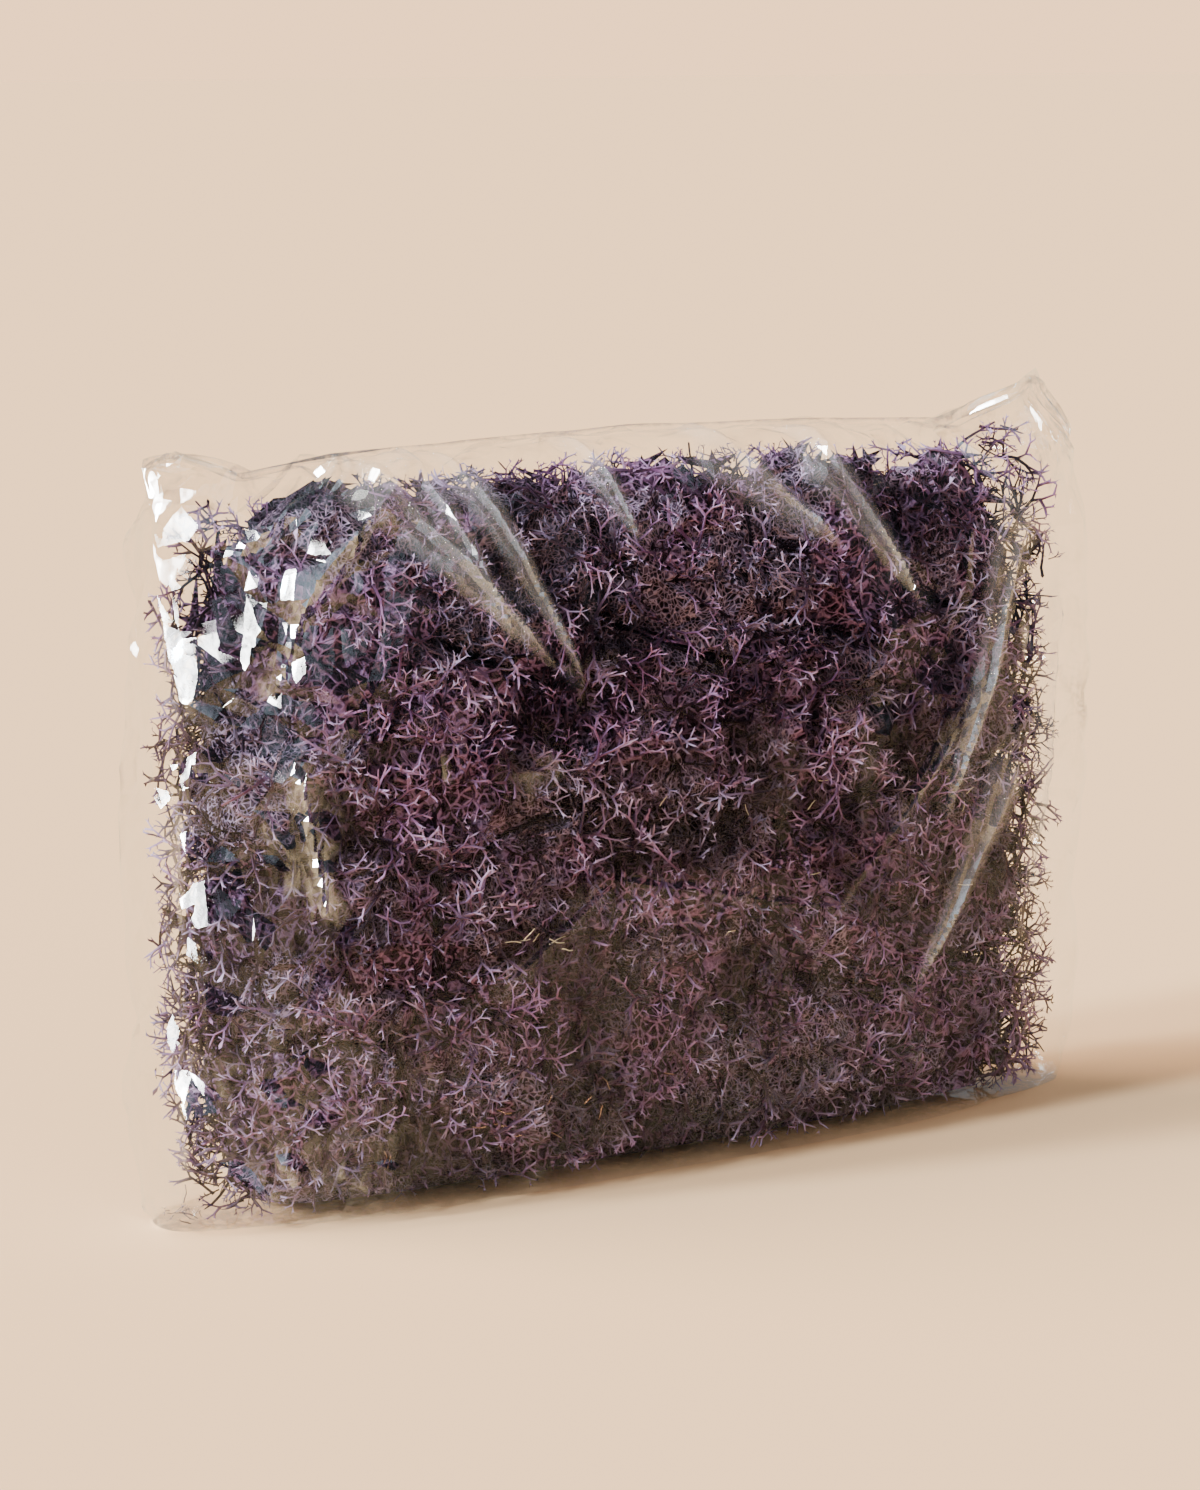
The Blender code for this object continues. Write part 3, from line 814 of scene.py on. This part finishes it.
def makeMossDyeAndShade():
    # the dyed moss's own colours, with painted shade in them
    moss = MossFinish("dyed_moss")
    tip = moss.number("tip")
    tone = moss.number("tone")
    deep = moss.number("deep")
    greyed, wine, shaded = moss.patches(moss.place())
    # painted shade: each ramp runs from near black at a sprig's root to pale at its tip, for the
    # shade deep in the moss
    light = moss.ramp(tip, [
        (0.00, (0.049, 0.022, 0.047)),
        (0.30, (0.120, 0.053, 0.114)),
        (0.65, (0.260, 0.134, 0.258)),
        (1.00, (0.560, 0.390, 0.580)),
    ])
    grey = moss.ramp(tip, [
        (0.00, (0.032, 0.020, 0.035)),
        (0.35, (0.092, 0.063, 0.108)),
        (1.00, (0.440, 0.360, 0.520)),
    ])
    red = moss.ramp(tip, [
        (0.00, (0.028, 0.010, 0.021)),
        (0.40, (0.098, 0.034, 0.086)),
        (1.00, (0.400, 0.190, 0.370)),
    ])
    tint = moss.blend(greyed * 0.5 + tone * 0.35, light, grey)
    tint = moss.blend(wine * 0.7, tint, red)
    # painted shade: shaded patches, depth under the film and the pack's bottom blend the colour
    # towards near black
    dark = moss.node("Math", {"operation": "MAXIMUM"}, {0: shaded * 0.78, 1: deep * 0.95})
    shade = moss.blend(dark, tint, (0.006, 0.003, 0.004, 1.0))
    return moss.matte(shade)


def makeCoreNetAndShade():
    # the depths of the moss: a fine net of dim strands over dark hollows, dim and near black as
    # painted shade for lying deep
    core = MossFinish("deep_moss")
    where = core.place()
    values = {"Vector": where, "Scale": 130.0, "Detail": 1.0}
    sway = core.node("TexNoise", {}, values, "Color")
    sway = core.node("VectorMath", {"operation": "SCALE"}, {0: sway, "Scale": 0.006})
    swung = core.node("VectorMath", {}, {0: where, 1: sway})
    nets = []
    for scale, low, high in ((230.0, 0.05, 0.17), (520.0, 0.05, 0.18)):
        settings = {"feature": "DISTANCE_TO_EDGE"}
        edge = core.node("TexVoronoi", settings, {"Vector": swung, "Scale": scale})
        nets.append(1.0 - core.smooth(edge, low, high))
    greyed, wine, shaded = core.patches(where)
    net = nets[0] * (1.0 - greyed * 0.5) * 0.7 + nets[1] * (0.25 + greyed * 0.45)
    tint = core.ramp(net, [
        (0.00, (0.004, 0.002, 0.003)),
        (0.40, (0.060, 0.028, 0.058)),
        (1.00, (0.280, 0.150, 0.275)),
    ])
    grey = core.blend(greyed * 0.6, tint, core.ramp(net, [
        (0.00, (0.005, 0.004, 0.005)),
        (0.40, (0.050, 0.040, 0.056)),
        (1.00, (0.240, 0.205, 0.260)),
    ]))
    shade = core.blend(shaded * 0.7, grey, (0.004, 0.002, 0.003, 1.0))
    return core.matte(shade, {"Normal": core.bump(net, 0.8, 0.001)})


mossDyeAndShade = makeMossDyeAndShade()
coreNetAndShade = makeCoreNetAndShade()


def pushFace(mesh, centre, step, narrow):
    # extrudes the face at a centre, narrows its end, and gives the end's centre
    shape = bmesh.from_edit_mesh(mesh)
    for face in shape.faces:
        face.select_set(False)
    nearest = min(shape.faces, key=lambda face: (face.calc_center_median() - centre).length)
    nearest.select_set(True)
    bmesh.update_edit_mesh(mesh)
    bpy.ops.mesh.extrude_region_move(TRANSFORM_OT_translate={"value": step})
    end = centre + step
    bpy.ops.transform.resize(value=(narrow, narrow, narrow), center_override=end)
    return end


def sidesOfEnd(mesh):
    shape = bmesh.from_edit_mesh(mesh)
    end = next(face for face in shape.faces if face.select)
    sides = [face for edge in end.edges for face in edge.link_faces if not face.select]
    return [(face.calc_center_median(), face.normal.copy()) for face in sides]


def startStem(name, radius):
    deselectAll()
    bpy.ops.mesh.primitive_cone_add(
        vertices=3, radius1=radius * 1.25, radius2=radius, depth=radius,
        end_fill_type="NGON", location=(0, 0, 0),
    )
    stem = bpy.context.object
    stem.name = name
    stem.data.materials.append(mossDyeAndShade)
    setMode("EDIT")
    bpy.ops.mesh.select_mode(type="FACE")
    return stem, Vector((0, 0, radius / 2))


def endStem(stem, brightest):
    setMode("OBJECT")
    # tip runs from 0 at the root to 1 at the far end; the moss colour paints the root end darker,
    # as painted shade
    far = norm(getPlaces(stem.data), axis=1)
    setNumber(stem.data, "tip", brightest * far / far.max())
    return stem


def growFork(mesh, look, random, centre, heading, level):
    # a stem that forks in two at each knuckle, down to short prongs
    heading = (heading + Vector(random.uniform(-look["stray"], look["stray"], 3))).normalized()
    reach = heading * random.uniform(*look["reach"][level])
    if level == len(look["reach"]) - 1:
        pushFace(mesh, centre, reach, 0.5)
        bpy.ops.mesh.merge(type="CENTER")
        return
    end = pushFace(mesh, centre, reach, look["taper"])
    end = pushFace(mesh, end, heading * look["knuckle"][level], look["taper"])
    place, outward = pick(sidesOfEnd(mesh), random)
    spread = (heading + outward * look["fork"]).normalized()
    growFork(mesh, look, random, place, spread, level + 1)
    growFork(mesh, look, random, end, (heading - outward * look["sway"]).normalized(), level + 1)


def makeSprig(name, look, random):
    sprig, top = startStem(name, look["stemRadius"])
    growFork(sprig.data, look, random, top, up, 0)
    return endStem(sprig, 1.0)


def makeLongStem(name, look, random):
    # a thicker, gently curved stem that tapers to its end
    stem, end = startStem(name, look["radius"])
    heading = up
    for step in range(look["steps"]):
        heading = (heading + Vector(random.uniform(-look["sway"], look["sway"], 3))).normalized()
        end = pushFace(stem.data, end, heading * look["reach"], look["taper"])
    return endStem(stem, 0.55)


def makeBranch(name, look, random):
    # a long branch seen from its side: a curved stem with forked shoots on its way
    branch, end = startStem(name, look["radius"])
    heading = up
    swing = random.uniform(-look["swing"], look["swing"])
    for step in range(look["steps"]):
        sway = random.uniform(-look["sway"], look["sway"])
        heading = (heading + Vector((swing, sway, 0))).normalized()
        reach = heading * random.uniform(*look["reach"])
        end = pushFace(branch.data, end, reach, look["taper"])
        end = pushFace(branch.data, end, heading * look["knuckle"], look["knuckleTaper"])
        place, outward = pick(sidesOfEnd(branch.data), random)
        spread = (heading + outward * look["fork"]).normalized()
        growFork(branch.data, mossLook, random, place, spread, 1)
    growFork(branch.data, mossLook, random, end, heading, 1)
    return endStem(branch, 0.95)


def makeModels(name, make, look, random):
    return [make(f"{name}_{number}", look, random) for number in range(look["variants"])]


random = np.random.default_rng(mossLook["seed"])
sprigs = makeModels("sprig", makeSprig, mossLook, random)
fans = makeModels("fan", makeSprig, fanLook, random)
longStems = makeModels("long_stem", makeLongStem, stemLook, random)
branches = makeModels("branch", makeBranch, branchLook, random)
for models in (sprigs, fans, longStems, branches):
    print("modelled", len(models), "with", [countTriangles(model.data) for model in models])


def nodeTriangles(node):
    mesh = node.data
    mesh.calc_loop_triangles()
    corners = np.empty(len(mesh.loop_triangles) * 3, np.int32)
    mesh.loop_triangles.foreach_get("vertices", corners)
    return getPlaces(mesh)[corners].reshape(-1, 3, 3)


filmTriangles = nodeTriangles(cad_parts["film_bag"])
filmTree = BVHTree.FromPolygons(
    [tuple(place) for place in filmTriangles.reshape(-1, 3)],
    [(3 * n, 3 * n + 1, 3 * n + 2) for n in range(len(filmTriangles))],
)
spineLow = np.array((-0.140, -0.014, 0.035))
spineHigh = np.array((0.140, 0.014, 0.215))
boxLow, boxHigh = (np.array(corner) for corner in cadBox)
rayStep = 0.003
leastRoom = 0.004


def outwardOf(place):
    # away from the pack's middle, square to its sides and rounded at its edges
    return unit(place - np.clip(place, spineLow, spineHigh))


def turnedTo(heading, place, spin, size):
    turn = Vector(heading).to_track_quat("Z", "Y").to_matrix() @ Matrix.Rotation(spin, 3, "Z")
    return Matrix.LocRotScale(Vector(place), turn.to_quaternion(), Vector((size,) * 3))


def measureRoom():
    # where the film lies in front, behind, left, right, below and above, as tables of rays
    tables = []
    for axis in (1, 0, 2):
        others = [n for n in range(3) if n != axis]
        spans = [np.arange(boxLow[n], boxHigh[n] + rayStep, rayStep) for n in others]
        table = np.zeros((2, len(spans[0]), len(spans[1])))
        for side, i, j in np.ndindex(table.shape):
            start, way = np.zeros(3), np.zeros(3)
            way[axis] = -1.0 if side else 1.0
            start[others] = spans[0][i], spans[1][j]
            start[axis] = (boxHigh if side else boxLow)[axis] - way[axis] * 0.05
            hit = filmTree.ray_cast(Vector(start), Vector(way))[0]
            if hit is not None:
                table[side, i, j] = hit[axis]
        tables.append((axis, others, spans, table))
    return tables


room = measureRoom()


def roomAround(places):
    # along each axis in turn, where the film lies on the low side and on the high side
    for axis, others, spans, table in room:
        cells = [
            np.clip(np.searchsorted(span, places[:, other]), 0, len(span) - 1)
            for span, other in zip(spans, others)
        ]
        yield axis, table[0][tuple(cells)], table[1][tuple(cells)]


def keepInFilm(places, gap):
    # presses in what stands out of the film, by 6 mm at most
    for axis, low, high in roomAround(places):
        if axis == 2:
            low = np.zeros(len(places))
        kept = np.clip(places[:, axis], low + gap, high - gap)
        shift = np.clip(kept - places[:, axis], -0.006, 0.006)
        places[:, axis] += np.where(high > low + leastRoom, shift, 0.0)
    return places


def isInFilm(places, slack):
    # whether a copy lies in the bag, or so little outside it that it can be pressed in
    if (places < boxLow + 0.001).any() or (places > boxHigh - 0.001).any():
        return False
    for axis, near, far in roomAround(places):
        over = np.maximum(places[:, axis] - far, near - places[:, axis])
        if axis != 2 and ((over > slack) | (far <= near + leastRoom)).any():
            return False
        if axis == 2 and (places[:, 2] - far > slack).any():
            return False
    return True


def depthInFilm(places):
    nearest = np.full(len(places), 1.0)
    for axis, low, high in roomAround(places):
        free = high > low + leastRoom
        if axis != 2:
            nearest = np.where(free, np.minimum(nearest, places[:, axis] - low), nearest)
        nearest = np.where(free, np.minimum(nearest, high - places[:, axis]), nearest)
    return np.maximum(nearest, 0.0)


def tryPlaces(look, random):
    # places spread over the outer side of every tuft, each with the tuft that owns it
    centres, owners = [], []
    for owner, name in enumerate(mossNames):
        corners = nodeTriangles(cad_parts[name])
        cross = np.cross(corners[:, 1] - corners[:, 0], corners[:, 2] - corners[:, 0])
        area = norm(cross, axis=1) / 2
        normal = cross / (2 * area[:, None] + 1e-12)
        centre = corners.mean(axis=1)
        away = centre - np.clip(centre, spineLow, spineHigh)
        away /= norm(away, axis=1)[:, None] + 1e-9
        seen = ((normal * away).sum(axis=1) > 0.15) & (centre[:, 2] > 0.004) & (away[:, 2] > -0.75)
        for which in np.nonzero(seen)[0]:
            count = max(1, int(area[which] / look["patchArea"]))
            mix = random.dirichlet((1, 1, 1), count)
            centres.append(mix @ corners[which])
            owners.append(np.full(count, owner))
    return liftTop(np.concatenate(centres), look["topLift"]), np.concatenate(owners)


def headPlaces(look, random):
    # the places that lie near the film and far enough from each other to bear a head
    centres, owners = tryPlaces(look, random)
    kept = []
    keptPlaces = np.empty((0, 3))
    for which in random.permutation(len(centres)):
        place = centres[which]
        outward = outwardOf(place)
        hit = filmTree.ray_cast(Vector(place), Vector(outward))[0]
        if hit is None:
            continue
        depth = norm(np.array(hit) - place)
        if depth > look["deepest"]:
            continue
        rise = look["rise"] * (1.0 + look["topRise"] * max(outward[2], 0.0))
        if outward[1] < 0.5 and random.uniform() < look["sunken"]:
            rise *= random.uniform(0.1, 0.7)
        top = place + outward * min(depth - look["filmGap"], rise)
        gap = look["backGap"] if outward[1] > 0.5 else look["headGap"]
        if len(keptPlaces) and norm(keptPlaces - top, axis=1).min() < gap:
            continue
        keptPlaces = np.vstack((keptPlaces, top))
        kept.append((int(owners[which]), top, outward))
    return kept


tuftMiddles = {name: np.mean(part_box(name), axis=0) for name in mossNames}


def longSprigOwner(root):
    return min(mossNames, key=lambda name: norm(tuftMiddles[name] - root))


def liftTop(places, lift):
    # the upper tufts are pressed up under the film's edge
    places[:, 2] += lift * ease(places[:, 2], 0.17, 0.24)
    return places


def pressCore(places, name, look):
    # the rear cores lie further in, so that their sprigs stand clear of them
    if name.startswith("moss_back"):
        places[:, 1] *= look["backPress"]
    return liftTop(places, look["topLift"] * 0.5)


def plant(model, matrix, tone, made):
    # a copy with its own mesh, unless it would stand out of the film
    mesh = model.data.copy()
    mesh.transform(matrix)
    if isInFilm(getPlaces(mesh), mossLook["slack"]):
        setNumber(mesh, "tone", tone)
        made.append(bpy.data.objects.new(model.name, mesh))
    else:
        bpy.data.meshes.remove(mesh)


def leaningWay(axis, side, across, rise, turn):
    flat = math.sqrt(1 - rise * rise)
    return axis * rise + flat * (side * math.cos(turn) + across * math.sin(turn))


def dressHead(look, top, outward, random, made):
    # a rounded head of sprigs that fan out from one root, upright or leaning over
    size = random.uniform(*look["headSize"])
    side = unit(np.cross(outward, random.normal(size=3)))
    lean = random.uniform(*look["littleLean" if random.uniform() < look["upright"] else "muchLean"])
    axis = unit(outward + side * lean)
    across = np.cross(axis, side)
    root = top - axis * size
    tone = random.uniform()
    swell = random.uniform(*look["swell"])
    front = outward[1] < 0.5
    fanCount = look["headFans"] if front else look["backFans"]
    for number in range(fanCount):
        # fans radiate from the root just under the film
        turn = number * fullTurn / fanCount + random.uniform(-0.4, 0.4)
        way = leaningWay(axis, side, across, random.uniform(*look["fanRise"]), turn)
        start = root + axis * (size - look["fanDepth"]) + way * 0.001
        matrix = turnedTo(way, start, anyTurn(random), swell * random.uniform(0.85, 1.1))
        shade = np.clip(tone + random.uniform(-0.12, 0.12), 0, 1)
        plant(pick(fans, random), matrix, shade, made)
    count = look["headSprigs"] if front else look["backSprigs"]
    limit = math.cos(math.radians(look["headCone"]))
    for number in range(count):
        rise = 1.0 - (1.0 - limit) * (number + random.uniform()) / count
        turn = number * goldenTurn + random.uniform(0, 0.6)
        way = leaningWay(axis, side, across, rise, turn)
        scale = look["sprigSize"] * swell * random.uniform(*look["swell"])
        start = root + way * max(size - look["sprigLength"] * scale, 0.001)
        heading = way + random.normal(size=3) * 0.12
        matrix = turnedTo(heading, start, anyTurn(random), scale)
        shade = np.clip(tone + random.uniform(-0.2, 0.2), 0, 1)
        plant(pick(sprigs, random), matrix, shade, made)
        if number == 0:  # one stem goes down to the core
            stem = pick(longStems, random)
            scale = random.uniform(0.6, 1.0)
            plant(stem, turnedTo(way, root - way * 0.006, anyTurn(random), scale), tone, made)


def layBranch(look, top, outward, random, made):
    # a long branch that lies just under the film
    side = unit(np.cross(outward, random.normal(size=3)))
    heading = unit(side + outward * random.uniform(0.0, 0.15))
    start = top - side * 0.012 - outward * 0.001
    size = random.uniform(0.75, 1.0)
    matrix = turnedTo(heading, start, anyTurn(random), size)
    plant(pick(branches, random), matrix, random.uniform(0.0, 0.5), made)


def layLongSprigs(node, look, random, made):
    # the CAD tufts' own long branches, in the tuft that holds each root
    for root, tip in look["longSprigs"]:
        if longSprigOwner(root) == node:
            way = Vector(tip) - Vector(root)
            for share, size in ((0.0, 1.0), (0.35, 0.6)):  # a branch and a shoot a third up it
                start = Vector(root) + way * share
                scale = size * way.length / look["branchLength"]
                matrix = turnedTo(way, start, anyTurn(random), scale)
                plant(pick(branches, random), matrix, 0.1, made)


def makeTuft(name, heads, look, random):
    deselectAll()
    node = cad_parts[name]
    core = bpy.data.objects.new(name.replace("moss", "tuft"), node.data.copy())
    linkObject(core)
    makeActive(core)
    setMode("EDIT")
    bpy.ops.mesh.select_all(action="SELECT")
    bpy.ops.mesh.remove_doubles(threshold=weldGap)
    bpy.ops.transform.shrink_fatten(value=-look["coreInset"])
    setMode("OBJECT")
    core.data.materials.clear()
    core.data.materials.append(coreNetAndShade)
    setPlaces(core.data, pressCore(getPlaces(core.data), name, look))
    setNumber(core.data, "tip", 0.12)
    setNumber(core.data, "tone", 0.5)
    made = []
    for number, (top, outward) in enumerate(heads):
        dressHead(look, top, outward, random, made)
        if number % look["branchEvery"] == 0:
            layBranch(look, top, outward, random, made)
    layLongSprigs(name, look, random, made)
    joinCopies(made, core)
    places = keepInFilm(getPlaces(core.data), look["filmGap"])
    setPlaces(core.data, places)
    # painted shade: the deeper a point lies under the film, and the lower it lies in the pack, the
    # darker the moss colour paints it
    deep = ease(depthInFilm(places), look["shadeFrom"], look["shadeBy"])
    low = look["lowShade"] * ease(places[:, 2], 0.125, 0.085)
    setNumber(core.data, "deep", np.maximum(deep, low))
    return core


heads = headPlaces(mossLook, random)
print("placed", len(heads), "heads of moss")
mossTriangles = 0
for number, name in enumerate(mossNames):
    own = [(top, outward) for owner, top, outward in heads if owner == number]
    tuft = makeTuft(name, own, mossLook, random)
    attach(tuft, "root")
    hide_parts(name)
    mossTriangles += countTriangles(tuft.data)


# Pressed moss between the two layers, seen only down the gaps

innerLook = {"middle": (0.002, 0.0, 0.124), "size": (0.305, 0.014, 0.196), "cuts": 5}


def makeInnerMoss(look):
    deselectAll()
    bpy.ops.mesh.primitive_cube_add(size=1.0, location=look["middle"], scale=look["size"])
    bpy.ops.object.transform_apply(location=True, rotation=True, scale=True)
    inner = bpy.context.object
    inner.name = "inner_moss"
    setMode("EDIT")
    bpy.ops.mesh.subdivide(number_cuts=look["cuts"])
    bpy.ops.mesh.vertices_smooth(factor=0.5, repeat=3)
    setMode("OBJECT")
    # it stands for the moss inside and wears the deep moss colours, whose darkness is painted shade
    inner.data.materials.append(coreNetAndShade)
    return inner


inner = makeInnerMoss(innerLook)
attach(inner, "root")


# Loose bits

bitLook = {
    "filmGap": 0.0015,
    "floorGap": 0.0006,
    "groups": (  # centre, reach, how many, size and tint of each scatter of bits
        ((-0.184, -0.004, 0.004), (0.006, 0.006, 0.003), 16, 0.34, 0.0),
        ((-0.060, -0.046, 0.092), (0.012, 0.001, 0.005), 7, 0.30, 1.0),
        ((-0.045, -0.045, 0.034), (0.040, 0.001, 0.010), 9, 0.30, 0.55),
        ((-0.100, -0.045, 0.026), (0.030, 0.001, 0.006), 5, 0.28, 0.55),
        ((0.184, -0.008, 0.012), (0.004, 0.004, 0.004), 6, 0.45, 0.0),
        ((0.192, 0.0, 0.018), (0.002, 0.002, 0.002), 3, 0.55, 0.0),
        ((0.060, -0.046, 0.120), (0.080, 0.001, 0.070), 10, 0.26, 0.8),
    ),
}


def makeBitFinish():
    dry = Finish("dry_bits")
    tint = dry.ramp(dry.number("tint"), [
        (0.00, (0.030, 0.018, 0.020)),
        (0.55, (0.230, 0.110, 0.055)),
        (1.00, (0.720, 0.620, 0.420)),
    ])
    return dry.finish(dry.shader({"Base Color": tint, "Roughness": 0.8}))


def makeBits(look, random):
    # crumbs in the lower corners, pale and brown stalks between the tufts
    made = []
    for centre, reach, count, size, tint in look["groups"]:
        for number in range(count):
            place = np.array(centre) + np.array(reach) * random.uniform(-1, 1, 3)
            way = random.normal(size=3) * (1.0, 0.4, 0.6)
            scale = size * random.uniform(0.6, 1.2)
            models = sprigs if number % 3 == 0 and tint < 0.1 else longStems
            mesh = pick(models, random).data.copy()
            mesh.transform(turnedTo(unit(way), place, anyTurn(random), scale))
            setNumber(mesh, "tint", tint)
            made.append(bpy.data.objects.new("loose_bits", mesh))
    deselectAll()
    bits = made[0]
    joinCopies(made, bits)
    places = keepInFilm(getPlaces(bits.data), look["filmGap"])
    places[:, 2] = np.maximum(places[:, 2], look["floorGap"])
    setPlaces(bits.data, places)
    bits.data.materials.clear()
    bits.data.materials.append(makeBitFinish())
    return bits


bits = makeBits(bitLook, random)
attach(bits, "root")
print("loose bits have", countTriangles(bits.data), "triangles")

for model in sprigs + fans + longStems + branches:
    bpy.data.objects.remove(model, do_unlink=True)
print("moss has", mossTriangles, "triangles")
